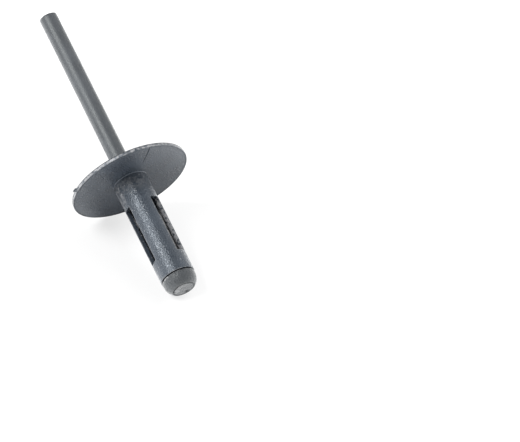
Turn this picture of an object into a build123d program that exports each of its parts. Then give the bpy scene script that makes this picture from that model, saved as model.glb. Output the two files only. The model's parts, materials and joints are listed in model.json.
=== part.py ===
"""Expansion rivet in black nylon: a flanged body with a slotted sleeve, on its pulling mandrel.

The mandrel's stem is pulled up through the flange. Its head draws the sleeve's end towards the
flange, the three legs between the slots fold outwards behind the panel, and the stem snaps at
its neck. The rivet is modelled as delivered, before it is set, lying on a flat surface on the
edge of its flange and on its head.

Each moulding is first made about its own axis: z runs from the flange's underside (z = 0)
towards the head, so the stem lies at negative z, and x points to what will be the upper side.
"""

from build123d import *
from build123d.topology import SkipClean

import os
from math import acos, atan2, cos, degrees, hypot, radians, sin, tan

# Flange
FLANGE_DIAMETER = 21.7
RIM_THICKNESS = 0.67
CROWN_HEIGHT = 0.85
RIM_TOP_ROUND = 0.2
RIM_EDGE_CHAMFER = 0.05
ROOT_FILLET = 0.12

# Sleeve, from the flange's underside to its open end
SHANK_DIAMETER = 6.3
SLEEVE_WALL = 0.8
UPPER_COLLAR = 5.2
LEG_LENGTH = 11.4
LOWER_COLLAR = 3.7

# Slots that part the sleeve into legs
LEG_COUNT = 3
SLOT_WIDTH = 2.0
SLOT_CORNER = 0.25
LEG_TURN = 21.7  # degrees about the axis, from the upper side to the first leg's middle

# Guide bore in the flange, and the land on the mandrel that it grips
GUIDE_DEPTH = 2.0  # how far the guide bore runs on below the flange's underside
GUIDE_CLEARANCE = 0.05
LAND_STEP = 0.175
LAND_PROUD = 0.25  # how far the land stands above the flange

# Stub of the gate on the flange's rim
GATE_WIDTH = 0.9
GATE_THICKNESS = 0.3
GATE_REACH = 0.9
GATE_TURN = 75.5  # degrees about the axis, from the upper side

# Mandrel
STEM_DIAMETER = 3.3
STEM_REACH = 35.9  # from the flange's underside to the stem's cut end
STEM_END_CHAMFER = 0.1
NECK_DIAMETER = 2.0
NECK_LENGTH = 0.4
SHOULDER_DEPTH = 8.3  # from the flange's underside to the full core
CORE_CLEARANCE = 0.15

# Mandrel's head, beyond the sleeve's end
HEAD_GAP = 0.2
HEAD_SEAT_DIAMETER = 5.5
HEAD_DIAMETER = 6.12
HEAD_EDGE_CHAMFER = 0.08
HEAD_LAND = 0.55
HEAD_DRAFT = 2.0  # degrees that the land tapers, away from the sleeve
NOSE_LENGTH = 1.8
NOSE_END_DIAMETER = 4.3
SPRUE_DIAMETER = 3.8
SPRUE_HEIGHT = 0.15

# Radii and stations that follow from the sizes above
flange_radius = FLANGE_DIAMETER / 2
shank_radius = SHANK_DIAMETER / 2
sleeve_bore_radius = shank_radius - SLEEVE_WALL
sleeve_length = UPPER_COLLAR + LEG_LENGTH + LOWER_COLLAR
slot_middle = UPPER_COLLAR + LEG_LENGTH / 2
flange_height = RIM_THICKNESS + CROWN_HEIGHT

stem_radius = STEM_DIAMETER / 2
land_radius = stem_radius + LAND_STEP
guide_radius = land_radius + GUIDE_CLEARANCE
neck_radius = NECK_DIAMETER / 2
core_radius = sleeve_bore_radius - CORE_CLEARANCE
shoulder_start = SHOULDER_DEPTH - (core_radius - neck_radius)
neck_start = shoulder_start - NECK_LENGTH

head_start = sleeve_length + HEAD_GAP
nose_start = head_start + HEAD_LAND
nose_end = nose_start + NOSE_LENGTH
tip = nose_end + SPRUE_HEIGHT
head_radius = HEAD_DIAMETER / 2
nose_radius = head_radius - HEAD_LAND * tan(radians(HEAD_DRAFT))
nose_end_radius = NOSE_END_DIAMETER / 2
nose_drop = nose_radius - nose_end_radius
nose_round = (NOSE_LENGTH**2 + nose_drop**2) / (2 * nose_drop)


def turned(section):
    """Solid of revolution from a half section whose x is the radius and whose y is z."""
    return revolve(Plane.XZ * section, Axis.Z, clean=False)


def corner(section, radius, z):
    """The section's corner nearest a radius and a station."""
    return section.vertices().sort_by_distance((radius, z))[0]


def flange_and_sleeve():
    """Crowned flange and plain tube outside, still solid through the middle.

    The tube's wall is drawn in three lengths and its seam lies in the middle of a slot, so that
    each collar and leg keeps a whole face of its own.
    """
    apex = (0, -flange_height)
    rim_top = (flange_radius, -RIM_THICKNESS)
    outline = TangentArc(apex, rim_top, tangent=(1, 0))
    outline += Polyline(
        rim_top,
        (flange_radius, 0),
        (shank_radius, 0),
        (shank_radius, UPPER_COLLAR),
        (shank_radius, UPPER_COLLAR + LEG_LENGTH),
        (shank_radius, sleeve_length),
        (0, sleeve_length),
        apex,
    )
    section = make_face(outline)
    section = fillet(corner(section, *rim_top), RIM_TOP_ROUND)
    section = chamfer(corner(section, flange_radius, 0), RIM_EDGE_CHAMFER)
    section = fillet(corner(section, shank_radius, 0), ROOT_FILLET)
    return Rot(Z=LEG_TURN - 180 / LEG_COUNT) * turned(section)


def bore():
    """Guide bore through the flange, a conical throat, and the wide bore inside the legs."""
    throat_end = GUIDE_DEPTH + sleeve_bore_radius - guide_radius
    outline = Polyline(
        (0, -flange_height - LAND_PROUD),
        (guide_radius, -flange_height - LAND_PROUD),
        (guide_radius, GUIDE_DEPTH),
        (sleeve_bore_radius, throat_end),
        (sleeve_bore_radius, sleeve_length),
        (0, sleeve_length),
        close=True,
    )
    return turned(make_face(outline))


def slots():
    """One straight-sided cutter for each slot, half way between two legs."""
    pitch = 360 / LEG_COUNT
    window = Plane(origin=(0, 0, slot_middle), x_dir=(0, 1, 0), z_dir=(1, 0, 0))
    outline = RectangleRounded(SLOT_WIDTH, LEG_LENGTH, SLOT_CORNER)
    cutter = extrude(window * outline, SHANK_DIAMETER)
    return [Rot(Z=LEG_TURN + (i + 0.5) * pitch) * cutter for i in range(LEG_COUNT)]


def gate():
    """Stub of the moulding gate, broken off short of its runner."""
    stub = Box(
        GATE_REACH + RIM_THICKNESS,
        GATE_WIDTH,
        GATE_THICKNESS,
        align=(Align.MAX, Align.CENTER, Align.CENTER),
    )
    stub = chamfer(stub.faces().sort_by(Axis.X)[-1].edges(), GATE_THICKNESS / 4)
    return Rot(Z=GATE_TURN) * Pos(flange_radius + GATE_REACH, 0, -RIM_THICKNESS / 2) * stub


def rivet_body():
    """Flange, collars and legs, moulded in one."""
    with SkipClean():
        return flange_and_sleeve() + gate() - bore() - slots()


def mandrel():
    """Stem, guide land, break neck, core with its stop shoulder, and head, moulded in one."""
    land_start = -flange_height - LAND_PROUD
    nose_edge = (nose_end_radius, nose_end)
    outline = Polyline(
        (0, tip),
        (0, -STEM_REACH),
        (stem_radius, -STEM_REACH),
        (stem_radius, land_start - LAND_STEP),
        (land_radius, land_start),
        (land_radius, GUIDE_DEPTH - LAND_STEP),
        (stem_radius, GUIDE_DEPTH),
        (stem_radius, neck_start - (stem_radius - neck_radius)),
        (neck_radius, neck_start),
        (neck_radius, shoulder_start),
        (core_radius, SHOULDER_DEPTH),
        (core_radius, sleeve_length),
        (HEAD_SEAT_DIAMETER / 2, sleeve_length),
        (HEAD_SEAT_DIAMETER / 2, head_start),
        (head_radius, head_start),
        (nose_radius, nose_start),
    )
    outline += TangentArc((nose_radius, nose_start), nose_edge, tangent=(0, 1))
    outline += Polyline(
        nose_edge,
        (SPRUE_DIAMETER / 2, nose_end),
        (SPRUE_DIAMETER / 2, tip),
        (0, tip),
    )
    section = make_face(outline)
    section = chamfer(corner(section, stem_radius, -STEM_REACH), STEM_END_CHAMFER)
    section = chamfer(corner(section, head_radius, head_start), HEAD_EDGE_CHAMFER)
    return turned(section)


def lying_plane():
    """Plane that carries z along the rivet's axis as it lies on its flange's edge and its head.

    In the section, the surface runs from the foot of the rim and is tangent to the nose's arc.
    """
    along = RIM_EDGE_CHAMFER + nose_start
    across = flange_radius - (nose_radius - nose_round)
    dip = acos(nose_round / hypot(along, across)) - atan2(along, across)
    height = flange_radius * cos(dip) - RIM_EDGE_CHAMFER * sin(dip)
    print(f"The axis dips {degrees(dip):.3f} degrees towards the head")
    print(f"Its height at the flange's underside is {height:.4f}")
    x_dir = (sin(dip), 0, cos(dip))
    z_dir = (cos(dip), 0, -sin(dip))
    return Plane(origin=(0, 0, height), x_dir=x_dir, z_dir=z_dir)


def centred(pieces):
    """Moves the lying pieces so that the middle of their box's underside is the origin."""
    box = Compound(list(pieces.values())).bounding_box()
    middle = box.center()
    shift = Pos(-middle.X, -middle.Y, -box.min.Z)
    print(f"The flange's underside meets the axis at x {-middle.X:.4f}, y {-middle.Y:.4f}")
    return {name: shift * piece for name, piece in pieces.items()}


os.makedirs("parts", exist_ok=True)
lying = lying_plane()
lying_pieces = {"rivet_body": lying * rivet_body(), "mandrel": lying * mandrel()}
for name, piece in centred(lying_pieces).items():
    export_step(piece, f"parts/{name}.step")
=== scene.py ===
"""Expansion rivet, dressed: a flanged nylon body with three folding legs, on its pulling mandrel.

Every piece is made about the rivet's own axis, where z runs from the flange's underside towards
the head and x points to the upper side. It is then laid down where the shank's mount says.
Turns are counted about that axis, from the upper side. Sizes are in metres.
"""

import json
from math import asin, atan2, cos, hypot, pi, radians, sin, sqrt, tan

import bpy
from bpy.props import FloatProperty, FloatVectorProperty, IntProperty, PointerProperty
from mathutils import Matrix, Vector, noise


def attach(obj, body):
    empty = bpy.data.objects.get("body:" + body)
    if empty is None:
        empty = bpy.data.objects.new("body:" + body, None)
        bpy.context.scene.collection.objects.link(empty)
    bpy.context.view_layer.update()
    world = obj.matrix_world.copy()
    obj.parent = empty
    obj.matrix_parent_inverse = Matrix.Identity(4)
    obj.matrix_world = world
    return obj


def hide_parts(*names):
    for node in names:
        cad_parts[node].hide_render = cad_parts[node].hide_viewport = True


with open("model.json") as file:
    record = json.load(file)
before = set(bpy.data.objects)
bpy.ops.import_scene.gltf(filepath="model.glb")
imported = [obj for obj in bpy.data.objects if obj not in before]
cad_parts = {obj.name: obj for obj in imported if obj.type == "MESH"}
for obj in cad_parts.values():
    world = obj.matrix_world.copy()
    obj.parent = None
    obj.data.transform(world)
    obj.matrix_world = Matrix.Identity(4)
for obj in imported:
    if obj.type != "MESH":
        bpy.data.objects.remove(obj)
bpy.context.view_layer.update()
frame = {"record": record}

bl_info = {
    "name": "Expansion rivet",
    "version": (1, 0, 0),
    "blender": (4, 5, 0),
    "location": "View3D > Sidebar > Rivet",
    "description": "Dresses a plastic expansion rivet around its packed solids",
    "category": "Object",
}

MOUNTS = {mount["name"]: mount for mount in frame["record"]["mounts"]}
MM = 0.001

# Columns of the sleeve's mesh in half a leg, from a slot's centre to the leg's middle
SLOT_STEPS = 6
CORNER_STEPS = 4
LEG_STEPS = 26
ROUND_STEPS = 4

SLOT_ROWS = 44  # steps along the straight of a slot
MANDREL_COLUMNS = 144
GATE_SHARES = (-1, -0.88, -0.6, -0.3, 0, 0.3, 0.6, 0.88, 1)  # columns across half the gate's width
WELD_STEPS = (-4, -2, -1, 0, 1, 2, 4)  # columns across the weld line
WELD_SPACING = 0.065 * MM
WELD_SPREAD = 17  # columns that move aside with the weld line

NEAR = 0.03 * MM  # from a round to the row that holds the flat beside it
INNER_EDGE = 0.04 * MM  # bevel of the edges inside the sleeve
BORE_LIP = 0.06 * MM  # round where the guide bore opens on the crown
STEM_BEVEL = 0.1 * MM
OUTER_JOIN = 0.6 * MM  # where the legs' mesh meets the flange's, outside and inside
INNER_JOIN = 2.9 * MM
MERGE_DISTANCE = 0.002 * MM

LAMP_DISTANCE = 0.7
KEY_WIDTH = 0.35
FILL_WIDTH = 0.45
FLOOR_REACH = 1.5
WHITE = (1.0, 1.0, 1.0)
# Near black for painted shade; also gives the head its darker tone
DARK = (0.006, 0.006, 0.007)  # shaded recesses


def size(description, value):
    """A length in metres, given in millimetres."""
    return FloatProperty(description=description, default=value * MM, unit="LENGTH", precision=6)


def angle(description, value):
    """An angle, given in degrees."""
    return FloatProperty(description=description, default=radians(value), subtype="ANGLE")


def amount(description, value):
    return FloatProperty(description=description, default=value)


def colour(description, value):
    return FloatVectorProperty(
        description=description, default=value, subtype="COLOR", size=3, min=0, max=1
    )


class FlangeSizes(bpy.types.PropertyGroup):
    diameter: size("Across the flange's rim", 21.7)
    rim: size("Height of the rim, from the underside to the crown's edge", 0.67)
    crown: size("How far the crown rises above the rim", 0.85)
    top_round: size("Radius between the rim and the crown", 0.2)
    edge_round: size("Radius of the rim's lower edge", 0.07)
    root_fillet: size("Radius between the underside and the sleeve", 0.12)
    gate_turn: angle("Where the broken gate stands on the rim", 75.5)
    gate_width: size("Width of the broken gate", 0.9)
    gate_height: size("Height of the broken gate", 0.3)
    gate_reach: size("How far the broken gate stands out", 0.9)
    weld_turn: angle("Where the weld line meets the rim", -11.8)
    weld_lean: angle("How far the weld line has turned at its inner end", -4.0)
    weld_start: size("Radius where the weld line ends inside", 5.6)
    weld_depth: size("Depth of the weld line's groove", 0.16)


class SleeveSizes(bpy.types.PropertyGroup):
    diameter: size("Across the sleeve", 6.3)
    wall: size("Thickness of the sleeve's wall", 0.8)
    upper_collar: size("From the flange's underside to the slots", 5.2)
    leg_length: size("Length of the slots, and so of the legs", 11.4)
    lower_collar: size("From the slots to the sleeve's end", 3.7)
    leg_count: IntProperty(description="Number of legs", default=3, min=2)
    leg_turn: angle("Where the first leg's middle is", 21.7)
    slot_width: size("Width of a slot", 2.0)
    slot_corner: size("Radius of a slot's corners", 0.25)
    slot_margin: size("Band of fine mesh round a slot", 0.15)
    edge_round: size("Radius of the slots' edges and of the sleeve's end", 0.06)
    waviness: size("How far the moulded skin sinks in places", 0.012)
    flash_turn: angle("Where a scrap of flash stands on a slot's edge", 63.2)
    flash_place: size("From the flange's underside to the scrap of flash", 8.5)
    flash_reach: size("How far the scrap of flash stands into the slot", 0.14)


class MandrelSizes(bpy.types.PropertyGroup):
    stem_diameter: size("Across the stem", 3.3)
    stem_reach: size("From the flange's underside to the stem's cut end", 35.9)
    land_step: size("How far the guide land stands out from the stem", 0.175)
    land_proud: size("How far the guide land stands above the flange", 0.25)
    guide_depth: size("How far the guide bore runs below the underside", 2.0)
    guide_clearance: size("Room round the guide land", 0.05)
    neck_diameter: size("Across the neck where the stem snaps", 2.0)
    neck_length: size("Length of the neck", 0.4)
    shoulder_depth: size("From the underside to the full core", 8.3)
    core_clearance: size("Room between the core and the legs", 0.15)
    head_gap: size("Height of the ring between the sleeve and the head", 0.2)
    seat_diameter: size("Across the seat that the sleeve's end meets", 5.5)
    head_diameter: size("Across the head", 6.12)
    head_round: size("Radius of the head's edge", 0.1)
    head_land: size("Height of the head's side", 0.55)
    head_draft: angle("How far the head's side tapers", 2.0)
    nose_length: size("Length of the head's rounded nose", 1.8)
    nose_end: size("Across the flat end of the nose", 4.3)
    sprue_diameter: size("Across the torn mark on the nose's end", 3.8)
    sprue_height: size("Height of the torn mark at its high side", 0.15)
    sprue_groove: size("Depth of the groove round the torn mark", 0.12)


class NylonLook(bpy.types.PropertyGroup):
    body: colour("Colour of the flanged body's nylon", (0.022, 0.028, 0.037))
    mandrel: colour("Colour of the mandrel's nylon", (0.038, 0.042, 0.048))
    # Pale grey for rubbed edges, torn nylon and flecks, and also for painted highlights on faces
    # that the light falls on
    scuffed: colour("Colour of worn edges and torn nylon", (0.2, 0.2, 0.205))
    grain: size("Height of the moulded grain", 0.048)
    drag: size("Height of the marks along the mandrel", 0.006)


class StageLook(bpy.types.PropertyGroup):
    azimuth: angle("Where the camera stands round the rivet", 63.8)
    elevation: angle("How far the camera looks down", 41.45)
    distance: size("From the camera to what it looks at", 1000)
    aim_right: size("What the camera looks at, right of the flange", 22.68)
    aim_down: size("What the camera looks at, below the flange", 6.85)
    focal_length: amount("Of the camera's lens, in millimetres", 396.0)
    key_turn: angle("Where the key softbox stands round the rivet's axis", 40.5)
    key_lean: angle("How far the key softbox stands behind the flange", 22.0)
    key_power: amount("Of the key softbox, in watts", 6.5)
    fill_turn: angle("Where the fill softbox stands round the rivet's axis", -45.0)
    fill_lean: angle("How far the fill softbox stands behind the flange", 10.0)
    fill_power: amount("Of the fill softbox, in watts", 1.5)
    sky: amount("Light from the level sky", 1.4)
    zenith: amount("Light from straight above", 0.6)
    shine: amount("Extra light from the open floor in the rivet's reflections", 2.0)


def rivet_place():
    """Matrix that lays the rivet's own axes where its shank's mount says."""
    shank = MOUNTS["shank"]
    along = Vector(shank["axis"]).normalized()
    across = Vector((0, -1, 0))
    upper = across.cross(along)
    root = Vector(shank["pos_m"]) - along * shank["dims"]["length_mm"] * MM / 2
    axes = Matrix((upper, across, along)).transposed()
    return Matrix.Translation(root) @ axes.to_4x4()


def smooth_step(value):
    value = min(max(value, 0.0), 1.0)
    return value * value * (3 - 2 * value)


def mix(a, b, factor):
    return a + (b - a) * factor


def stations(start, end, steps):
    """Evenly spaced values from start to end, both included."""
    return [mix(start, end, i / steps) for i in range(steps + 1)]


def near_turn(turn, middle, reach):
    """1 near a turn, fading to 0 at a reach from it. Middle and reach are in degrees."""
    gap = abs((turn - radians(middle) + pi) % (2 * pi) - pi)
    return smooth_step((radians(reach) - gap) / radians(14))


def ripple(turn, station, scale, seed=0.0):
    """Smooth noise between -1 and 1 over a turned surface, which closes round the turn."""
    return noise.noise(Vector((scale * cos(turn), scale * sin(turn), station / MM + seed)))


class Shell:
    """Points, faces and marks of one moulded skin. Faces point to turn x travel along the rows.

    Marks above 0 pale the skin: rubbed edges and torn nylon, and painted highlights on faces
    that the light falls on. Marks below 0 are painted shade.
    """

    def __init__(self):
        self.points, self.faces, self.wear = [], [], []

    def row(self, turns, radii, heights, wear=0.0):
        """One row of points, and their numbers. What is not a list is the same all along it."""
        count = len(turns)
        given = (radii, heights, wear)
        radii, heights, wear = (v if isinstance(v, list) else [v] * count for v in given)
        first = len(self.points)
        for turn, radius, height in zip(turns, radii, heights):
            self.points.append((radius * cos(turn), radius * sin(turn), height))
        self.wear += wear
        return list(range(first, first + count))

    def strip(self, a, b):
        for i in range(len(a) - 1):
            self.faces.append((a[i], a[i + 1], b[i + 1], b[i]))

    def band(self, a, b):
        self.strip(a + a[:1], b + b[:1])

    def cap(self, ring, height, first):
        """Closes a ring to its pole. first says whether the travel starts at this pole."""
        self.points.append((0.0, 0.0, height))
        self.wear.append(0.0)
        pole = len(self.points) - 1
        for i in range(len(ring)):
            a, b = ring[i], ring[(i + 1) % len(ring)]
            self.faces.append((pole, b, a) if first else (a, b, pole))

    def mesh(self, name):
        mesh = bpy.data.meshes.new(name)
        mesh.from_pydata(self.points, [], self.faces)
        mesh.attributes.new("wear", "FLOAT", "POINT").data.foreach_set("value", self.wear)
        mesh.polygons.foreach_set("use_smooth", [True] * len(mesh.polygons))
        mesh.update()
        return mesh


def new_object(name, data):
    obj = bpy.data.objects.new(name, data)
    bpy.context.scene.collection.objects.link(obj)
    return obj


def quarter(steps=ROUND_STEPS):
    """Pairs of how far in and how far down an edge's round has come, as shares of its radius."""
    turns = stations(0.0, pi / 2, steps)
    return [(1 - sin(turn), 1 - cos(turn)) for turn in turns]


# The sleeve's wall, slotted into legs


def corner_gaps(sleeve):
    """Distances from the centre of a slot's corner to the columns or the rows round it."""
    reach = sleeve.slot_corner + sleeve.slot_margin
    return [reach * tan(radians(45 * k / CORNER_STEPS)) for k in range(1, CORNER_STEPS + 1)]


def chords(sleeve):
    """Distances from a slot's centre line of the columns up to just past its corner."""
    straight = sleeve.slot_width / 2 - sleeve.slot_corner
    return stations(0.0, straight, SLOT_STEPS) + [straight + gap for gap in corner_gaps(sleeve)]


def sleeve_end(sleeve):
    return sleeve.upper_collar + sleeve.leg_length + sleeve.lower_collar


def half_turns(sleeve, radius):
    """Turns of the columns at a radius, from a slot's centre to the leg's middle."""
    near = [asin(chord / radius) for chord in chords(sleeve)]
    return near + stations(near[-1], pi / sleeve.leg_count, LEG_STEPS)[1:]


def ring_turns(sleeve, radius):
    """Turns of all columns at a radius, from a slot's centre and round."""
    half = half_turns(sleeve, radius)
    pitch = 2 * pi / sleeve.leg_count
    leg = half + [pitch - turn for turn in half[-2:0:-1]]
    start = sleeve.leg_turn - pitch / 2
    return [start + i * pitch + turn for i in range(sleeve.leg_count) for turn in leg]


def slot_heights(sleeve):
    """Heights of the rows along a slot, and its corners' centres."""
    first = sleeve.upper_collar + sleeve.slot_corner
    last = sleeve.upper_collar + sleeve.leg_length - sleeve.slot_corner
    gaps = corner_gaps(sleeve)
    rows = [first - gap for gap in reversed(gaps)]
    rows += stations(first, last, SLOT_ROWS)
    rows += [last + gap for gap in gaps]
    return rows, first, last


def slot_outline(sleeve, heights, first, last, offset):
    """Chords and heights of a slot's rounded outline, half way round it, at an offset outside."""
    straight = sleeve.slot_width / 2 - sleeve.slot_corner
    radius = sleeve.slot_corner + offset
    steps = 2 * CORNER_STEPS
    turned = [radians(90 * k / steps) for k in range(1, steps)]
    start = [(chord, first - radius) for chord in chords(sleeve)[: SLOT_STEPS + 1]]
    start += [(straight + radius * sin(t), first - radius * cos(t)) for t in turned]
    end = [(chord, last + first - height) for chord, height in reversed(start)]
    side = [(straight + radius, h) for h in heights if first - 1e-9 <= h <= last + 1e-9]
    return start + side + end


def half_leg(sleeve):
    """Skin of the wall from a slot's centre to the leg's middle, outside, end and inside."""
    shell = Shell()
    outside = sleeve.diameter / 2
    inside = outside - sleeve.wall
    end = sleeve_end(sleeve)
    edge = sleeve.edge_round
    slot_rows, first, last = slot_heights(sleeve)
    below = stations(slot_rows[-1], end - edge - NEAR, 13)[1:]

    travel = [(outside, h, 0.0) for h in stations(OUTER_JOIN, slot_rows[0], 15)[:-1]]
    outer_first = len(travel)
    travel += [(outside, h, 0.0) for h in slot_rows]
    outer_last = len(travel) - 1
    travel += [(outside, h, 0.0) for h in below]
    travel += [(outside - edge * d, end - edge * i, 1.0) for i, d in quarter()]
    across = (outside - edge - NEAR, outside - 0.3 * MM, inside + 0.2 * MM)
    travel += [(r, end, 0.3) for r in across]
    travel += [(inside + INNER_EDGE, end, 0.5), (inside, end - INNER_EDGE, 0.2)]
    travel += [(inside, h, 0.0) for h in reversed(below)]
    inner_last = len(travel)
    travel += [(inside, h, 0.0) for h in reversed(slot_rows)]
    inner_first = len(travel) - 1
    travel += [(inside, h, 0.0) for h in stations(slot_rows[0], INNER_JOIN, 7)[1:]]

    rows = [shell.row(half_turns(sleeve, r), r, h, wear) for r, h, wear in travel]
    window = SLOT_STEPS + CORNER_STEPS
    for j in range(len(rows) - 1):
        slotted = outer_first <= j < outer_last or inner_last <= j < inner_first
        start = window if slotted else 0
        shell.strip(rows[j][start:], rows[j + 1][start:])

    def round_window(row_numbers):
        top, bottom = rows[row_numbers[0]], rows[row_numbers[-1]]
        side = [rows[j][window] for j in row_numbers[1:-1]]
        return top[: window + 1] + side + bottom[window::-1]

    loops = [round_window(list(range(outer_first, outer_last + 1)))]
    levels = [(edge * i, edge * d, 0.9) for i, d in quarter()]
    levels += [(0.0, d, 0.0) for d in stations(edge, sleeve.wall - INNER_EDGE, 4)[1:]]
    levels += [(INNER_EDGE, sleeve.wall, 0.0)]
    for offset, depth, wear in levels:
        outline = slot_outline(sleeve, slot_rows, first, last, offset)
        radius = outside - depth
        turns = [asin(chord / radius) for chord, _ in outline]
        loops.append(shell.row(turns, radius, [height for _, height in outline], wear))
    loops.append(round_window(list(range(inner_first, inner_last - 1, -1))))
    for a, b in zip(loops, loops[1:]):
        shell.strip(a, b)
    return shell


def leg_mesh(sleeve):
    """A whole leg with half a slot at each side: half a leg, and its mirror image."""
    shell = half_leg(sleeve)
    pitch = 2 * pi / sleeve.leg_count
    count = len(shell.points)
    c, s = cos(pitch), sin(pitch)
    shell.points += [(c * x + s * y, s * x - c * y, z) for x, y, z in shell.points]
    shell.faces += [tuple(count + i for i in reversed(face)) for face in shell.faces]
    shell.wear += shell.wear
    return shell.mesh("leg")


# The flange, from the join inside the bore to the join outside the sleeve


def rim_turns(flange, sleeve):
    """Turns of the columns at the rim: even, but closer at the gate and at the weld line."""
    pitch = 2 * pi / sleeve.leg_count
    start = sleeve.leg_turn - pitch / 2
    columns = len(ring_turns(sleeve, sleeve.diameter / 2)) // sleeve.leg_count
    radius = flange.diameter / 2
    half_gate = flange.gate_width / 2 / radius
    gate = [flange.gate_turn + half_gate * share for share in GATE_SHARES]
    weld = [flange.weld_turn + step * WELD_SPACING / radius for step in WELD_STEPS]
    turns = []
    for leg in range(sleeve.leg_count):
        low, high = start + leg * pitch, start + (leg + 1) * pitch
        fixed = sorted(t for t in gate + weld if low < t < high)
        runs = [(low, high)]
        if fixed:
            runs = [(low, weld[0]), (weld[-1], gate[0]), (gate[-1], high)]
        spare = columns - len(fixed) + (len(runs) - 1 if fixed else 0)
        total = sum(b - a for a, b in runs)
        counts = [max(1, round(spare * (b - a) / total)) for a, b in runs]
        counts[0] += spare - sum(counts)
        if not fixed:
            turns += stations(low, high, counts[0])[:-1]
            continue
        turns += stations(*runs[0], counts[0])[:-1] + weld
        turns += stations(*runs[1], counts[1])[1:-1] + gate
        turns += stations(*runs[2], counts[2])[1:-1]
    return turns


class FlangeColumns:
    """Turns of the flange's columns, which pass from the sleeve's to the rim's."""

    def __init__(self, flange, sleeve):
        self.flange = flange
        self.outer = ring_turns(sleeve, sleeve.diameter / 2)
        self.inner = ring_turns(sleeve, sleeve.diameter / 2 - sleeve.wall)
        self.rim = rim_turns(flange, sleeve)
        self.weld = min(range(len(self.rim)), key=lambda i: abs(self.rim[i] - flange.weld_turn))
        self.root = sleeve.diameter / 2 + flange.root_fillet

    def crown(self, radius):
        start, band = 2.4 * MM, 4 * MM
        share = smooth_step((radius - start) / band)
        return [mix(a, b, share) for a, b in zip(self.inner, self.rim)]

    def underside(self, radius):
        band, weld_band = 2 * MM, 1.4 * MM
        share = smooth_step((radius - self.root) / band)
        turns = [mix(a, b, share) for a, b in zip(self.outer, self.rim)]
        rim = self.flange.diameter / 2
        inward = (rim - radius) / (rim - self.flange.weld_start)
        wanted = self.flange.weld_turn + self.flange.weld_lean * inward
        shift = (wanted - turns[self.weld]) * smooth_step((radius - self.root) / weld_band)
        for i in range(self.weld - WELD_SPREAD + 1, self.weld + WELD_SPREAD):
            turns[i] += shift * smooth_step(1 - abs(i - self.weld) / WELD_SPREAD)
        return turns


def arc_radius(reach, rise):
    """Radius of the arc that rises this far over this reach, from its level end."""
    return (reach**2 + rise**2) / (2 * rise)


def crown_height(flange, radius):
    """Height of the crown's arc at a radius, below zero."""
    arc = arc_radius(flange.diameter / 2, flange.crown)
    return arc - sqrt(arc**2 - radius**2) - flange.rim - flange.crown


def crown_travel(flange, mandrel):
    """Radii, heights and marks of the rows from the guide bore over the crown to the rim's wall."""
    bore = guide_radius(mandrel)
    top = crown_height(flange, bore + BORE_LIP)
    rows = [(bore, h, 0.0) for h in stations(mandrel.guide_depth, top + BORE_LIP + NEAR, 8)]
    rows += [(bore + BORE_LIP * i, top + BORE_LIP * d, 0.6) for d, i in quarter()]
    top_round = flange.top_round
    centre = flange.diameter / 2 - top_round
    arc = arc_radius(flange.diameter / 2, flange.crown)
    height = arc - flange.rim - flange.crown - sqrt((arc - top_round) ** 2 - centre**2)
    first = asin(centre / (arc - top_round))
    crown = stations(bore + 1.6 * BORE_LIP, arc * sin(first) - 0.05 * MM, 28)
    rows += [(r, crown_height(flange, r), 0.0) for r in crown]
    # The top round between the rim and the crown gets painted shade, a near-black line along the
    # rim's edge
    for turn in stations(first, pi / 2, 7):
        rows.append((centre + top_round * sin(turn), height - top_round * cos(turn), -0.8))
    return rows, height


def guide_radius(mandrel):
    return mandrel.stem_diameter / 2 + mandrel.land_step + mandrel.guide_clearance


def gate_patch(flange, turns, height):
    """Radii of one row of the rim's wall, which stands out where the gate broke off."""
    rim = flange.diameter / 2
    across_height = abs(height + flange.rim / 2) / (flange.gate_height / 2)
    radii = []
    for turn in turns:
        across = abs(turn - flange.gate_turn) * rim / (flange.gate_width / 2)
        inside = across < 0.99 and across_height < 0.99
        torn = 0.72 + 0.28 * noise.noise(Vector((turn * 60, height / MM * 9, 3.7)))
        torn -= 0.25 * max(across, across_height) ** 4
        radii.append(rim + (flange.gate_reach * torn if inside else 0.0))
    return radii


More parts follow.
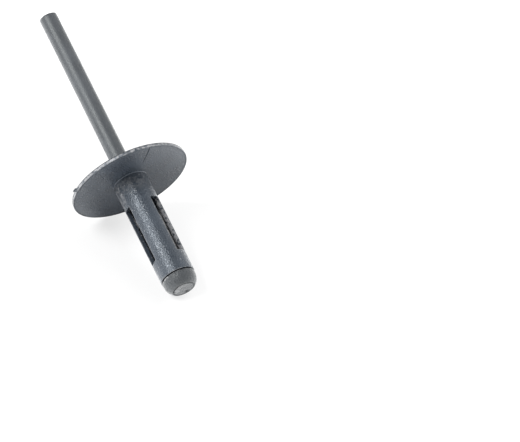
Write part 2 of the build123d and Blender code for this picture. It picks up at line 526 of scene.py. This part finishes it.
def flange_mesh(flange, sleeve, mandrel):
    """The flange with its guide bore, gate and weld line."""
    shell = Shell()
    columns = FlangeColumns(flange, sleeve)
    outside = sleeve.diameter / 2
    inside = outside - sleeve.wall
    bore = guide_radius(mandrel)
    throat_end = mandrel.guide_depth + inside - bore
    rows = [shell.row(columns.inner, r, h) for r, h in
            ((inside, INNER_JOIN), (inside, throat_end + NEAR), (inside, throat_end))]
    travel, wall = crown_travel(flange, mandrel)
    rows += [shell.row(columns.crown(r), r, h, wear) for r, h, wear in travel]

    rim = flange.diameter / 2
    edge = flange.edge_round
    half_gate = flange.gate_height / 2
    steps = [half_gate * share - flange.rim / 2 for share in (-1, -0.8, -0.4, 0, 0.4, 0.8, 1)]
    heights = [mix(wall, steps[0], 0.5)] * (wall < steps[0]) + steps + [mix(steps[-1], -edge, 0.6)]
    for height in heights:
        radii = gate_patch(flange, columns.rim, height)
        # The rim's wall is painted pale all round, a painted highlight on the band that the light
        # falls on; where the gate stands out it is made darker
        wear = [2.0 if radius == rim else -0.5 for radius in radii]
        rows.append(shell.row(columns.rim, radii, height, wear))
    rows += [shell.row(columns.rim, rim - edge * i, -edge * d, 1.0 - i) for d, i in quarter()]

    radii = [rim - edge - 0.04 * MM] + stations(rim - 0.3 * MM, columns.root + 0.05 * MM, 30)
    for radius in radii:
        turns = columns.underside(radius)
        fade = smooth_step((radius - flange.weld_start) / (0.8 * MM))
        # Painted shade on the first two rows inside the rim's lower edge: a near-black line under
        # the rim
        dark = {radii[0]: 0.8, radii[1]: 0.3}.get(radius, 0.0)
        wear = [-dark * (0.8 + 0.7 * ripple(turn, 0, 6.0, 4)) for turn in turns]
        sunk = [0.0] * len(turns)
        # The weld line's groove also gets painted shade, fading out towards its inner end
        for step, share in ((0, 1.0), (1, 0.55), (2, 0.0)):
            for i in (columns.weld - step, columns.weld + step):
                sunk[i] = -flange.weld_depth * share * fade
                wear[i] = -share * fade
        rows.append(shell.row(turns, radius, sunk, wear))
    fillet = flange.root_fillet
    for turn in stations(0.0, pi / 2, 6):
        radius = columns.root - fillet * sin(turn)
        rows.append(shell.row(columns.outer, radius, fillet * (1 - cos(turn))))
    rows += [shell.row(columns.outer, outside, h) for h in stations(fillet, OUTER_JOIN, 3)[1:]]
    for a, b in zip(rows, rows[1:]):
        shell.band(a, b)
    return shell.mesh("flange")


def body_tree():
    """Geometry Nodes that set the legs round the axis, join them to the flange and age the skin."""
    tree = bpy.data.node_groups.new("Legs round the axis", "GeometryNodeTree")
    sockets = {
        "Leg": "Geometry", "Flange": "Object", "Leg Count": "Int", "First Slot": "Float",
        "Merge Distance": "Float", "Waviness": "Float", "Nylon": "Material",
    }
    for name, kind in sockets.items():
        tree.interface.new_socket(name, in_out="INPUT", socket_type="NodeSocket" + kind)
    tree.interface.new_socket("Body", in_out="OUTPUT", socket_type="NodeSocketGeometry")
    given = tree.nodes.new("NodeGroupInput").outputs

    count = given["Leg Count"]
    points = add(tree, "GeometryNodeMeshLine", {"Count": count, "Offset": (0, 0, 0)})
    index = add(tree, "GeometryNodeInputIndex").outputs[0]
    steps = math_node(tree, "MULTIPLY", index, math_node(tree, "DIVIDE", 2 * pi, count))
    turn = math_node(tree, "ADD", steps, given["First Slot"])
    legs = add(tree, "GeometryNodeInstanceOnPoints", {
        "Points": points.outputs["Mesh"],
        "Instance": given["Leg"],
        "Rotation": add(tree, "ShaderNodeCombineXYZ", {"Z": turn}).outputs[0],
    })
    flange = add(tree, "GeometryNodeObjectInfo", {"Object": given["Flange"]})
    join = add(tree, "GeometryNodeJoinGeometry", {0: legs.outputs["Instances"]})
    feed(tree, join.inputs[0], flange.outputs["Geometry"])
    real = add(tree, "GeometryNodeRealizeInstances", {0: join.outputs[0]})
    merge = add(tree, "GeometryNodeMergeByDistance", {
        "Geometry": real.outputs[0], "Distance": given["Merge Distance"],
    })

    position = add(tree, "GeometryNodeInputPosition").outputs[0]
    waves = texture(tree, "ShaderNodeTexNoise", position, 450.0, Detail=2.0)
    depth = math_node(tree, "MULTIPLY", waves.outputs[0], given["Waviness"])
    offset = add(tree, "ShaderNodeVectorMath", {
        0: add(tree, "GeometryNodeInputNormal").outputs[0],
        "Scale": math_node(tree, "MULTIPLY", depth, -1.0),
    }, operation="SCALE")
    sink = add(tree, "GeometryNodeSetPosition", {
        "Geometry": merge.outputs["Geometry"], "Offset": offset.outputs[0],
    })
    skin = add(tree, "GeometryNodeSetMaterial", {
        "Geometry": sink.outputs[0], "Material": given["Nylon"],
    })
    add(tree, "NodeGroupOutput", {"Body": skin.outputs[0]})
    return tree


def feed(tree, socket, value):
    """Links a socket to another, or sets it to a value. Colours are given without their alpha."""
    if isinstance(value, bpy.types.NodeSocket):
        tree.links.new(value, socket)
    else:
        socket.default_value = (*value, 1.0) if socket.type == "RGBA" else value


def add(tree, kind, inputs=(), **settings):
    """A new node with these settings, and its inputs fed by name or number."""
    node = tree.nodes.new(kind)
    for name, value in settings.items():
        setattr(node, name, value)
    for key, value in dict(inputs).items():
        feed(tree, node.inputs[key], value)
    return node


def math_node(tree, operation, *values):
    """The output of a Math node on values or sockets."""
    return add(tree, "ShaderNodeMath", enumerate(values), operation=operation).outputs[0]


def grown(base, tree, values, name):
    """Plain mesh object that the tree makes from a base object with these inputs."""
    modifier = base.modifiers.new("grow", "NODES")
    modifier.node_group = tree
    for item in tree.interface.items_tree:
        if item.in_out == "INPUT" and item.name in values:
            modifier[item.identifier] = values[item.name]
    graph = bpy.context.evaluated_depsgraph_get()
    mesh = bpy.data.meshes.new_from_object(base.evaluated_get(graph), depsgraph=graph)
    base.modifiers.remove(modifier)
    mesh.name = name
    return mesh


def raise_flash(mesh, sleeve):
    """Pulls a scrap of flash out of one leg's edge, into the slot."""
    edge = sleeve.diameter / 2
    thickness, behind = 0.16 * MM, 0.09 * MM
    half_length, reach = 0.4 * MM, 0.5 * MM
    turn = sleeve.flash_turn
    along = Vector((-sin(turn), cos(turn), 0))
    place = Vector((edge * cos(turn), edge * sin(turn), sleeve.flash_place))
    for vertex in mesh.vertices:
        gap = vertex.co - place
        outside = hypot(vertex.co.x, vertex.co.y) > edge - thickness
        near = abs(gap.z) < half_length and gap.length < reach and gap.dot(along) > -behind
        if outside and near:
            vertex.co += along * sleeve.flash_reach * smooth_step(1 - abs(gap.z) / half_length)


def mark_skin(mesh, sleeve):
    """Painted light on one slot wall, painted shade on the leg beside it, and a paler root."""
    radius = sleeve.diameter / 2
    slot = sleeve.leg_turn - pi / sleeve.leg_count
    outward = Vector((cos(slot), sin(slot), 0))
    across = Vector((sin(slot), -cos(slot), 0))
    # How pale one slot's side wall is painted: painted light on the wall that the light falls on
    wall_light = 4.0
    strip, fade = 0.95 * MM, 0.3 * MM  # width and edge of the shaded strip beside the slot
    wear = mesh.attributes["wear"].data
    for vertex in mesh.vertices:
        place = vertex.co
        depth = radius - place.dot(outward)
        aside = place.dot(across) - sleeve.slot_width / 2
        along = place.z - sleeve.upper_collar
        outside = abs(hypot(place.x, place.y) - radius) < 0.05 * MM
        if 0 < along < sleeve.leg_length and depth < 1.5 * sleeve.wall:
            if abs(aside) < 0.02 * MM:
                wear[vertex.index].value = wall_light
            elif outside and aside > 0:
                # Painted shade on the leg's outside, beside that slot
                wear[vertex.index].value = -smooth_step((strip - aside) / fade)
        elif outside and along < 0:
            turn = atan2(place.y, place.x)
            # Painted light on the collar near the root, on the side that the key light falls on,
            # and a paler streak near turn 88
            upper = near_turn(turn, 40, 85) * smooth_step((3.8 * MM - place.z) / (2 * MM))
            edge = near_turn(turn, 88, 30) * smooth_step(-along / (2.5 * MM))
            root_fade = smooth_step(place.z / (0.8 * MM))
            wear[vertex.index].value = max(0.4 * upper, 1.2 * edge) * root_fade


def finished(mesh, name):
    """Object at the origin with the rivet's place in its mesh."""
    mesh.transform(rivet_place())
    mesh.update()
    return new_object(name, mesh)


# The mandrel


def mandrel_travel(sizes, sleeve):
    """Radii, heights and wear of the mandrel's rows, from its cut end to its nose's end."""
    stem = sizes.stem_diameter / 2
    land = stem + sizes.land_step
    neck = sizes.neck_diameter / 2
    core = sleeve.diameter / 2 - sleeve.wall - sizes.core_clearance
    flange = bpy.context.scene.rivet_flange
    land_start = -flange.rim - flange.crown - sizes.land_proud
    shoulder = sizes.shoulder_depth - (core - neck)
    neck_start = shoulder - sizes.neck_length
    end = sleeve_end(sleeve)
    head_start = end + sizes.head_gap
    nose_start = head_start + sizes.head_land
    head = sizes.head_diameter / 2

    cut = -sizes.stem_reach + NEAR
    stem_end = land_start - sizes.land_step
    land_end = sizes.guide_depth - sizes.land_step
    rows = [(r, cut, 0.0) for r in stations(0.2 * MM, stem - STEM_BEVEL - NEAR, 6)]
    rows += [(stem - STEM_BEVEL * i, cut + STEM_BEVEL * d, 1.0) for d, i in quarter()]
    rows += [(stem, h, 0.0) for h in stations(cut + STEM_BEVEL + NEAR, stem_end - NEAR, 90)]
    rows += [(stem, stem_end, 0.0), (land, land_start, 0.4), (land, land_start + NEAR, 0.0)]
    rows += [(land, h, 0.0) for h in stations(land_start + 2 * NEAR, land_end, 6)]
    rows += [(stem, sizes.guide_depth, 0.0), (stem, neck_start - stem + neck, 0.0)]
    rows += [(neck, neck_start, 0.0), (neck, shoulder, 0.0), (core, sizes.shoulder_depth, 0.2)]
    rows += [(core, h, 0.0) for h in stations(sizes.shoulder_depth + NEAR, end - NEAR, 48)]
    seat = sizes.seat_diameter / 2
    rows += [(core, end, 0.0), (seat, end, 0.0), (seat, head_start, 0.0)]

    bevel = sizes.head_round
    rows += [(head - bevel - NEAR, head_start, 0.0)]
    rows += [(head - bevel * i, head_start + bevel * d, 0.8) for d, i in quarter(6)]
    slope = tan(sizes.head_draft)
    side = stations(head_start + bevel + NEAR, nose_start, 4)
    rows += [(head - slope * (h - head_start), h, 0.0) for h in side]
    nose = head - slope * sizes.head_land
    drop = nose - sizes.nose_end / 2
    arc = arc_radius(sizes.nose_length, drop)
    for turn in stations(0.0, asin(sizes.nose_length / arc), 26)[1:]:
        rows.append((nose - arc * (1 - cos(turn)), nose_start + arc * sin(turn), 0.0))
    return rows


def add_nose_end(shell, rows, sizes, turns):
    """Ends the nose in a groove round the torn mark of the sprue."""
    base = rows[-1][1]
    lip = sizes.nose_end / 2
    mark = sizes.sprue_diameter / 2
    sway, tear = 0.05 * MM, 0.035 * MM
    rings = []

    # Painted shade in the groove round the torn mark, strongest in two arcs
    def groove(turn):
        deepest = max(near_turn(turn, 70, 46), near_turn(turn, 168, 26), 0.3)
        return -deepest * (0.9 + 0.5 * ripple(turn, 0, 2.7, 8))

    # The torn face is paler, most towards turn 75, with painted shade in a blotch round turn 214
    def torn_face(turn):
        shaded = near_turn(turn, 214, 30) * (1 + 1.5 * ripple(turn, 0, 3.9, 2))
        return 0.2 + 0.8 * near_turn(turn, 75, 62) - 0.9 * shaded

    def ring(radius, height, wear=0.0, rough=0.0, lean=0.0):
        radii = [radius + sway * rough * ripple(t, 0, 3.1, 5) for t in turns]
        heights = []
        for turn, r in zip(turns, radii):
            torn = rough * tear * noise.noise(Vector((r * cos(turn), r * sin(turn), 0)) * 1900)
            tilt = 0.5 + 0.5 * cos(turn - radians(250)) * r / mark
            heights.append(base + height + lean * tilt + torn)
        marks = [wear(turn) for turn in turns] if callable(wear) else wear
        rings.append(shell.row(turns, radii, heights, marks))

    deep = -sizes.sprue_groove
    high = sizes.sprue_height - 0.05 * MM
    ring(lip - 0.05 * MM, -0.01 * MM, 0.5)
    ring(lip - 0.10 * MM, deep * 0.7, groove, 0.6)
    ring(lip - 0.16 * MM, deep, groove, 1.0)
    ring(mark - 0.02 * MM, deep * 0.8, groove, 1.0)
    ring(mark - 0.10 * MM, 0.0, groove, 1.0, high * 0.7)
    ring(mark - 0.20 * MM, 0.0, torn_face, 1.0, high)
    for share in (0.85, 0.75, 0.62, 0.5):
        ring(mark * share, 0.0, torn_face, 1.0, high)
    for share in (0.37, 0.25, 0.12):
        ring(mark * share, 0.0, 0.3, 1.0, high)
    return rings, base + high / 2


def mandrel_mesh(sizes, sleeve):
    shell = Shell()
    turns = [2 * pi * i / MANDREL_COLUMNS for i in range(MANDREL_COLUMNS)]
    travel = mandrel_travel(sizes, sleeve)
    end = sleeve_end(sleeve)
    head_start = end + sizes.head_gap
    roughness, sinking, highlight_band = 0.028 * MM, 0.010 * MM, 0.3 * MM
    rings = []
    for radius, height, wear in travel:
        heights = height
        if height < -sizes.stem_reach + 2 * STEM_BEVEL:
            spots = [Vector((radius * cos(t), radius * sin(t), 0)) * 1500 for t in turns]
            heights = [height + roughness * noise.noise(spot) for spot in spots]
        sunk = [radius - sinking * (0.5 + 0.5 * ripple(t, height * 0.25, 1.3)) for t in turns]
        # A painted highlight along the head's edge, on the side near turn 96
        if head_start < height < head_start + highlight_band:
            wear = [wear + 2.4 * near_turn(t, 96, 54) for t in turns]
        # Painted light on the core where it shows through one slot
        elif sizes.shoulder_depth < height < end:
            wear = [2.5 * near_turn(t, -62, 30) for t in turns]
        rings.append(shell.row(turns, sunk, heights, wear))
    ends, tip = add_nose_end(shell, travel, sizes, turns)
    rings += ends
    shell.cap(rings[0], travel[0][1], first=True)
    for a, b in zip(rings, rings[1:]):
        shell.band(a, b)
    shell.cap(rings[-1], tip, first=False)
    return shell.mesh("mandrel")


# Nylon

FLOAT, VECTOR = "NodeSocketFloat", "NodeSocketVector"


def group(name, inputs, outputs):
    """Empty shader node group with these sockets, and what it is given."""
    tree = bpy.data.node_groups.new(name, "ShaderNodeTree")
    for label, kind, value in inputs:
        socket = tree.interface.new_socket(label, in_out="INPUT", socket_type=kind)
        if value is not None:
            socket.default_value = value
    for label in outputs:
        tree.interface.new_socket(label, in_out="OUTPUT", socket_type=FLOAT)
    return tree, tree.nodes.new("NodeGroupInput").outputs


def texture(tree, kind, vector, scale, **values):
    return add(tree, kind, {"Vector": vector, "Scale": scale, **values})


def ramp(tree, value, low, high):
    """Share of the way from low to high, smoothed and kept between 0 and 1."""
    inputs = {"Value": value, "From Min": low, "From Max": high}
    node = add(tree, "ShaderNodeMapRange", inputs, interpolation_type="SMOOTHSTEP")
    return node.outputs["Result"]


def moulded_grain():
    """Fine grain of a spark-eroded mould, a slow drift in tone, and pale flecks."""
    tree, given = group(
        "Moulded grain",
        (
            ("Position", VECTOR, None),
            ("Grain Scale", FLOAT, 6000.0),
            ("Fleck Scale", FLOAT, 3000.0),
        ),
        ("Height", "Drift", "Flecks"),
    )
    place = given["Position"]
    fine = texture(tree, "ShaderNodeTexNoise", place, given["Grain Scale"], Detail=3.0)
    slow = texture(tree, "ShaderNodeTexNoise", place, 260.0, Detail=2.0)
    cells = texture(tree, "ShaderNodeTexVoronoi", place, given["Fleck Scale"])
    pick = add(tree, "ShaderNodeSeparateColor", {0: cells.outputs["Color"]})
    chosen = ramp(tree, pick.outputs[0], 0.86, 0.98)
    core = ramp(tree, cells.outputs["Distance"], 0.45, 0.15)
    add(tree, "NodeGroupOutput", {
        "Height": ramp(tree, fine.outputs[0], 0.3, 0.7),
        "Drift": slow.outputs[0],
        "Flecks": math_node(tree, "MULTIPLY", chosen, core),
    })
    return tree


def drag_marks():
    """Faint marks that run along the axis, where a moulding was drawn out or gripped."""
    tree, given = group(
        "Drag marks",
        (("Position", VECTOR, None), ("Mark Scale", FLOAT, 3500.0), ("Stretch", FLOAT, 0.03)),
        ("Height", "Marks"),
    )
    stretch = add(tree, "ShaderNodeCombineXYZ", {"X": 1.0, "Y": 1.0, "Z": given["Stretch"]})
    inputs = {0: given["Position"], 1: stretch.outputs[0]}
    drawn = add(tree, "ShaderNodeVectorMath", inputs, operation="MULTIPLY").outputs[0]
    lines = texture(tree, "ShaderNodeTexNoise", drawn, given["Mark Scale"], Detail=4.0).outputs[0]
    add(tree, "NodeGroupOutput", {"Height": lines, "Marks": ramp(tree, lines, 0.56, 0.72)})
    return tree


def worn_and_lit_edges():
    """Broken-up mask of what the mesh marks as pale: rubbed edges and painted highlights."""
    tree, given = group(
        "Worn and lit edges",
        (("Wear", FLOAT, 0.0), ("Position", VECTOR, None), ("Patch Scale", FLOAT, 1800.0)),
        ("Mask",),
    )
    place, scale = given["Position"], given["Patch Scale"]
    patches = texture(tree, "ShaderNodeTexNoise", place, scale, Detail=3.0)
    kept = ramp(tree, patches.outputs[0], 0.35, 0.65)
    add(tree, "NodeGroupOutput", {"Mask": math_node(tree, "MULTIPLY", kept, given["Wear"])})
    return tree


def placed(tree, node_group, **values):
    """The node group in a material, with its inputs set from values or sockets."""
    inputs = {name.replace("_", " "): value for name, value in values.items()}
    return add(tree, "ShaderNodeGroup", inputs, node_tree=node_group).outputs


def blended(tree, factor, a, b):
    """Mix of two colours, each a value or a socket."""
    return add(tree, "ShaderNodeMix", {0: factor, 6: a, 7: b}, data_type="RGBA").outputs[2]


def blank(owner):
    """The owner's node tree, emptied."""
    owner.use_nodes = True
    owner.node_tree.nodes.clear()
    return owner.node_tree


def bumped(tree, height, distance, **under):
    inputs = {"Height": height, "Distance": distance, **under}
    return add(tree, "ShaderNodeBump", inputs).outputs["Normal"]


def nylon_groups():
    """The shader groups that both mouldings share, built once."""
    makers = {"Moulded grain": moulded_grain, "Drag marks": drag_marks, "Worn and lit edges": worn_and_lit_edges}
    return {name: bpy.data.node_groups.get(name) or make() for name, make in makers.items()}


def nylon(
    name, base, scuffed, grain_scale, grain, pits, drag, drag_stretch,
    roughness, dull, flecks, level, sheen,
):
    """Carbon-black nylon with moulded grain, drag marks, rubbed edges, and painted light and shade.

    grain and drag are heights, and pits is how far the grain varies the roughness. dull is the
    head's roughness, and level and sheen are how strong the reflections are and their tint.
    """
    material = bpy.data.materials.new(name)
    tree = blank(material)
    back = rivet_place().inverted()
    place = add(tree, "ShaderNodeMapping", {
        "Vector": add(tree, "ShaderNodeTexCoord").outputs["Object"],
        "Location": back.to_translation(),
        "Rotation": back.to_euler(),
    }).outputs[0]

    groups = nylon_groups()
    skin = placed(tree, groups["Moulded grain"], Position=place, Grain_Scale=grain_scale)
    drawn = placed(tree, groups["Drag marks"], Position=place, Stretch=drag_stretch)
    # Marks above 0 pale the skin, both rubbed edges and painted highlights; marks below 0 give
    # painted shade, near black and rough
    wear = add(tree, "ShaderNodeAttribute", attribute_name="wear").outputs["Fac"]
    worn_and_lit = placed(tree, groups["Worn and lit edges"], Wear=wear, Position=place)["Mask"]
    shade = math_node(tree, "MAXIMUM", math_node(tree, "MULTIPLY", wear, -1.0), 0.0)
    along = add(tree, "ShaderNodeSeparateXYZ", {0: place}).outputs["Z"]
    end = sleeve_end(bpy.context.scene.rivet_sleeve)
    head = ramp(tree, along, end + 0.05 * MM, end + 0.2 * MM)

    darker, paler = (tuple(share * c for c in base) for share in (0.86, 1.16))
    tone = blended(tree, ramp(tree, skin["Drift"], 0.3, 0.7), darker, paler)
    for mask, share, colour_over in (
        (head, 0.3, DARK),
        (skin["Flecks"], flecks, scuffed),
        (worn_and_lit, 0.7, scuffed),
    ):
        tone = blended(tree, math_node(tree, "MULTIPLY", mask, share), tone, colour_over)

    rough = math_node(tree, "MULTIPLY_ADD", head, dull - roughness, roughness - 0.08 + pits / 2)
    for value, share in (
        (skin["Drift"], 0.16),
        (skin["Height"], -pits),
        (drawn["Marks"], -0.05),
        (worn_and_lit, 0.08),
        (shade, 0.5),
    ):
        rough = math_node(tree, "MULTIPLY_ADD", value, share, rough)

    head_extra = 2.5  # how much higher the grain stands on the head
    rise = math_node(tree, "MULTIPLY_ADD", head, head_extra, 1.0)
    normal = bumped(tree, math_node(tree, "MULTIPLY", skin["Height"], rise), grain)
    shader = add(tree, "ShaderNodeBsdfPrincipled", {
        "Base Color": blended(tree, shade, tone, DARK),
        "Roughness": rough,
        "Normal": bumped(tree, drawn["Height"], drag, Normal=normal),
        "IOR": 1.53,
        "Specular IOR Level": level,
        "Specular Tint": sheen,
    })
    add(tree, "ShaderNodeOutputMaterial", {"Surface": shader.outputs[0]})
    return material


# Operators


class RIVET_OT_body(bpy.types.Operator):
    """Makes the flange and the slotted sleeve, moulded in one"""

    bl_idname = "rivet.body"
    bl_label = "Flanged body"

    def execute(self, context):
        flange, sleeve = context.scene.rivet_flange, context.scene.rivet_sleeve
        sizes, look = context.scene.rivet_mandrel, context.scene.rivet_nylon
        leg = new_object("leg", leg_mesh(sleeve))
        skirt = new_object("skirt", flange_mesh(flange, sleeve, sizes))
        material = nylon(
            "body_nylon_skin", look.body, look.scuffed,
            grain_scale=3300.0, grain=look.grain * 0.7, pits=0.24,
            drag=look.drag * 0.4, drag_stretch=0.12, roughness=0.37, dull=0.37,
            flecks=0.75, level=0.5, sheen=(0.86, 0.93, 1.0),
        )
        values = {
            "Flange": skirt,
            "Leg Count": sleeve.leg_count,
            "First Slot": sleeve.leg_turn - pi / sleeve.leg_count,
            "Merge Distance": MERGE_DISTANCE,
            "Waviness": sleeve.waviness,
            "Nylon": material,
        }
        mesh = grown(leg, body_tree(), values, "flanged_body")
        for part in (leg, skirt):
            bpy.data.objects.remove(part)
        raise_flash(mesh, sleeve)
        mark_skin(mesh, sleeve)
        body = finished(mesh, "flanged_body")
        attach(body, "root")
        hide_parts("rivet_body")
        return {"FINISHED"}


class RIVET_OT_mandrel(bpy.types.Operator):
    """Makes the mandrel: stem, guide land, neck, core and head, moulded in one"""

    bl_idname = "rivet.mandrel"
    bl_label = "Pulling mandrel"

    def execute(self, context):
        sizes, sleeve = context.scene.rivet_mandrel, context.scene.rivet_sleeve
        look = context.scene.rivet_nylon
        mesh = mandrel_mesh(sizes, sleeve)
        mesh.materials.append(nylon(
            "mandrel_nylon_skin", look.mandrel, look.scuffed,
            grain_scale=3600.0, grain=look.grain * 0.3, pits=0.1,
            drag=look.drag, drag_stretch=0.03, roughness=0.48, dull=0.44,
            flecks=0.15, level=0.42, sheen=(0.96, 1.0, 0.98),
        ))
        piece = finished(mesh, "pulling_mandrel")
        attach(piece, "root")
        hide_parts("mandrel")
        return {"FINISHED"}


def white_floor(material, shine):
    """White to the camera save for the rivet's shadow, and a brighter white to the rivet.

    The glow that the camera sees lifts the floor to white. It is a little stronger on the side
    away from the soft shadow, and far from the rivet.
    """
    tree = blank(material)
    glow_level, lit_side_extra, far_extra = 0.66, 0.13, 0.2
    bounced, seen = (0.86, 0.86, 0.86), (0.2, 0.2, 0.2)
    rays = add(tree, "ShaderNodeLightPath").outputs
    colour_shown = blended(tree, rays["Is Camera Ray"], bounced, seen)
    paper = add(tree, "ShaderNodeBsdfDiffuse", {"Color": colour_shown})
    place = add(tree, "ShaderNodeTexCoord").outputs["Object"]
    away = add(tree, "ShaderNodeVectorMath", {0: place}, operation="LENGTH").outputs["Value"]
    light = math_node(tree, "MULTIPLY", ramp(tree, away, 12 * MM, 26 * MM), shine)
    light = math_node(tree, "MULTIPLY", light, rays["Is Glossy Ray"])
    across = add(tree, "ShaderNodeSeparateXYZ", {0: place}).outputs["Y"]
    lit_side = ramp(tree, across, -4 * MM, 3 * MM)
    lift = math_node(tree, "MULTIPLY_ADD", lit_side, lit_side_extra, glow_level)
    far_floor = ramp(tree, away, 26 * MM, 60 * MM)
    lift = math_node(tree, "MULTIPLY_ADD", far_floor, far_extra, lift)
    lift = math_node(tree, "MULTIPLY_ADD", lift, rays["Is Camera Ray"], light)
    glow = add(tree, "ShaderNodeEmission", {"Color": WHITE, "Strength": lift})
    both = add(tree, "ShaderNodeAddShader", {0: paper.outputs[0], 1: glow.outputs[0]})
    sides = add(tree, "ShaderNodeMixShader", {
        0: add(tree, "ShaderNodeNewGeometry").outputs["Backfacing"],
        1: both.outputs[0],
        2: add(tree, "ShaderNodeBsdfTransparent").outputs[0],
    })
    add(tree, "ShaderNodeOutputMaterial", {"Surface": sides.outputs[0]})


def studio_sky(world, look):
    """White to the camera, and darker straight above in the rivet's light and reflections."""
    tree = blank(world)
    towards = add(tree, "ShaderNodeTexCoord").outputs["Generated"]
    height = add(tree, "ShaderNodeSeparateXYZ", {0: towards}).outputs["Z"]
    high = ramp(tree, height, 0.15, 0.95)
    light = math_node(tree, "MULTIPLY_ADD", high, look.zenith - look.sky, look.sky)
    seen = add(tree, "ShaderNodeLightPath").outputs["Is Camera Ray"]
    lift = math_node(tree, "MULTIPLY", math_node(tree, "SUBTRACT", 1.0, light), seen)
    strength = math_node(tree, "ADD", light, lift)
    sky = add(tree, "ShaderNodeBackground", {"Color": WHITE, "Strength": strength})
    add(tree, "ShaderNodeOutputWorld", {"Surface": sky.outputs[0]})


def softbox(name, place, turn, lean, width, power):
    """Square lamp at a turn about the rivet's axis, leaning behind its flange."""
    lamp_data = bpy.data.lights.new(name, "AREA")
    lamp_data.shape = "SQUARE"
    lamp_data.size = width
    lamp_data.energy = power
    lamp = new_object(name, lamp_data)
    towards = (place.to_3x3() @ Vector((cos(turn), sin(turn), -tan(lean)))).normalized()
    lamp.location = place.to_translation() + towards * LAMP_DISTANCE
    lamp.rotation_euler = towards.to_track_quat("Z", "Y").to_euler()


class RIVET_OT_stage(bpy.types.Operator):
    """Sets the white floor, the sky, the softboxes and the camera"""

    bl_idname = "rivet.stage"
    bl_label = "Studio"

    def execute(self, context):
        scene, look = context.scene, context.scene.rivet_stage
        mesh = bpy.data.meshes.new("floor")
        signs = ((-1, -1), (1, -1), (1, 1), (-1, 1))
        corners = [(x * FLOOR_REACH, y * FLOOR_REACH, 0.0) for x, y in signs]
        mesh.from_pydata(corners, [], [(0, 1, 2, 3)])
        material = bpy.data.materials.new("white_floor")
        white_floor(material, look.shine)
        mesh.materials.append(material)
        floor = new_object("floor", mesh)

        scene.world = bpy.data.worlds.new("studio")
        studio_sky(scene.world, look)

        place = rivet_place()
        root = place.to_translation()
        back = Vector((
            sin(look.azimuth) * cos(look.elevation),
            -cos(look.azimuth) * cos(look.elevation),
            sin(look.elevation),
        ))
        right = Vector((cos(look.azimuth), sin(look.azimuth), 0))
        up = back.cross(right)
        camera_data = bpy.data.cameras.new("camera")
        camera_data.lens = look.focal_length
        camera_data.sensor_width = 36.0
        camera_data.clip_start = 0.01
        camera_data.clip_end = 10.0
        camera = new_object("camera", camera_data)
        aim = root + right * look.aim_right - up * look.aim_down
        turn = Matrix((right, up, back)).transposed().to_4x4()
        camera.matrix_world = Matrix.Translation(aim + back * look.distance) @ turn
        scene.camera = camera

        softbox("key", place, look.key_turn, look.key_lean, KEY_WIDTH, look.key_power)
        softbox("fill", place, look.fill_turn, look.fill_lean, FILL_WIDTH, look.fill_power)
        scene.view_settings.view_transform = "Standard"
        return {"FINISHED"}


class RIVET_PT_sidebar(bpy.types.Panel):
    """Sizes and steps of the rivet"""

    bl_idname = "RIVET_PT_sidebar"
    bl_label = "Expansion rivet"
    bl_space_type = "VIEW_3D"
    bl_region_type = "UI"
    bl_category = "Rivet"

    def draw(self, context):
        layout = self.layout
        for step in STEPS:
            layout.operator(step.bl_idname)
        for label, holder in SETTINGS.items():
            box = layout.box()
            box.label(text=label.removeprefix("rivet_").title())
            values = getattr(context.scene, label)
            for name in holder.__annotations__:
                box.prop(values, name, text=name.replace("_", " ").capitalize())


STEPS = (RIVET_OT_body, RIVET_OT_mandrel, RIVET_OT_stage)
SETTINGS = {
    "rivet_flange": FlangeSizes,
    "rivet_sleeve": SleeveSizes,
    "rivet_mandrel": MandrelSizes,
    "rivet_nylon": NylonLook,
    "rivet_stage": StageLook,
}
CLASSES = (*SETTINGS.values(), *STEPS, RIVET_PT_sidebar)


def register():
    for each in CLASSES:
        bpy.utils.register_class(each)
    for name, holder in SETTINGS.items():
        setattr(bpy.types.Scene, name, PointerProperty(type=holder))


def unregister():
    for name in SETTINGS:
        delattr(bpy.types.Scene, name)
    for each in reversed(CLASSES):
        bpy.utils.unregister_class(each)


def main():
    register()
    bpy.ops.rivet.body()
    bpy.ops.rivet.mandrel()
    bpy.ops.rivet.stage()


if __name__ == "__main__":
    main()
